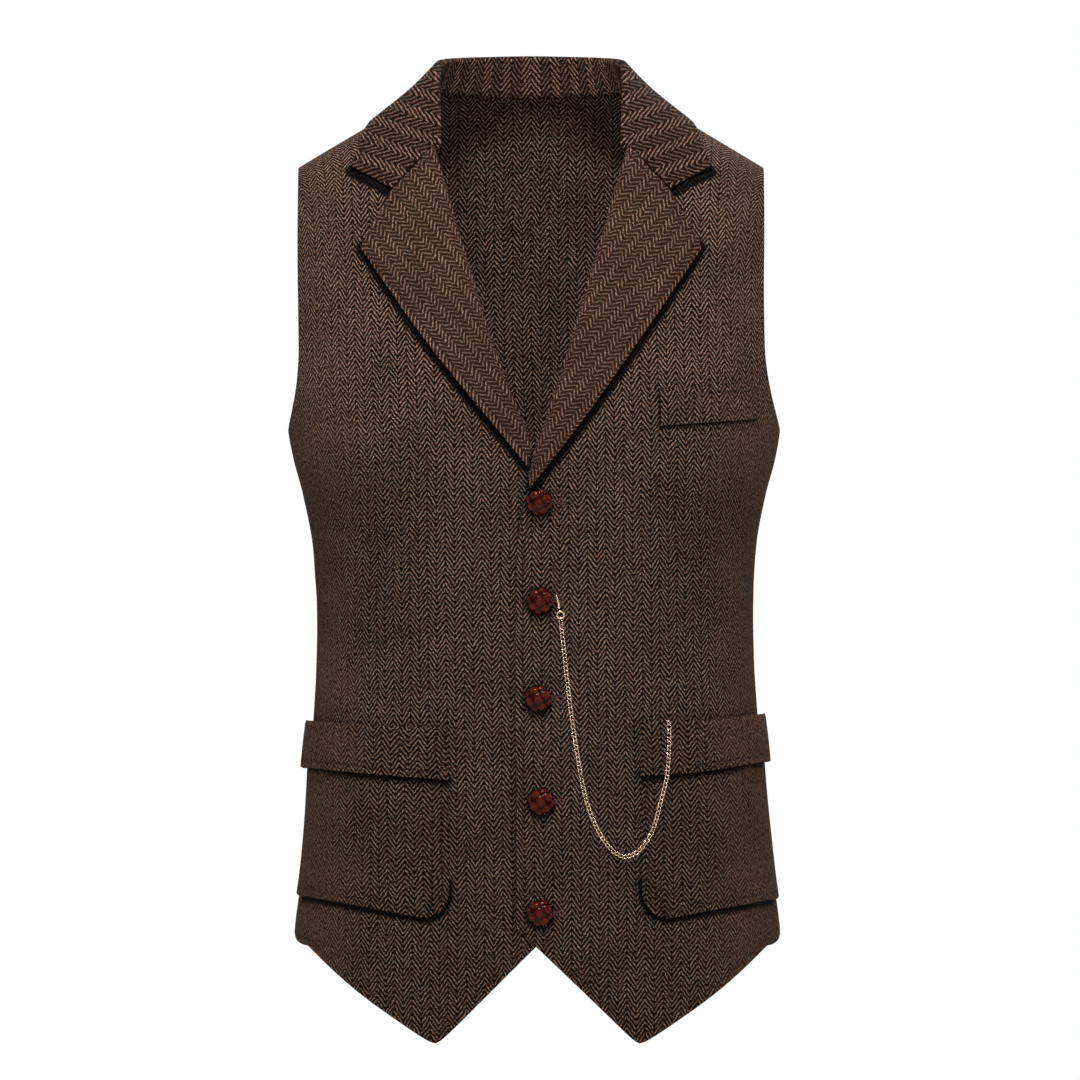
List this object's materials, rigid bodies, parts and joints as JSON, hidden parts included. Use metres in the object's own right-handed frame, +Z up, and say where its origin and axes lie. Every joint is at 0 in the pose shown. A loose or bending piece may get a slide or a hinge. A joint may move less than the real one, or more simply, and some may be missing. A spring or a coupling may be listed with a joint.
{
  "type": "suit waistcoat",
  "caption": "Herringbone tweed suit waistcoat, hollow as worn, with notched collar and lapels, chest welt, flapped patch pockets, pointed hem and a hanging watch chain.",
  "frame": {"origin": "midway between the tops of the shoulder seams at the neck, where the wearer's shoulders hold the garment", "axes": "+Z up, the front faces -Y, +X towards the wearer's left, which is the viewer's right"},
  "size_m": [0.369, 0.2492, 0.7398],
  "materials": {
    "tweed": "woollen herringbone tweed, dark brown ground with tan grey yarn, soft nap",
    "button_leather": "polished red brown leather, woven knot",
    "chain_metal": "pale gold, polished"
  },
  "bodies": {
    "root": {"front_right": "tweed", "front_left": "tweed", "back": "tweed", "lapel_right": "tweed", "lapel_left": "tweed", "collar": "tweed", "chest_welt": "tweed", "pocket_right": "tweed", "pocket_left": "tweed", "flap_right": "tweed", "flap_left": "tweed", "button_1": "button_leather", "button_2": "button_leather", "button_3": "button_leather", "button_4": "button_leather", "button_5": "button_leather", "chain_bar": "chain_metal", "chain_ring": "chain_metal", "watch_chain": "chain_metal"}
  },
  "joints": []
}
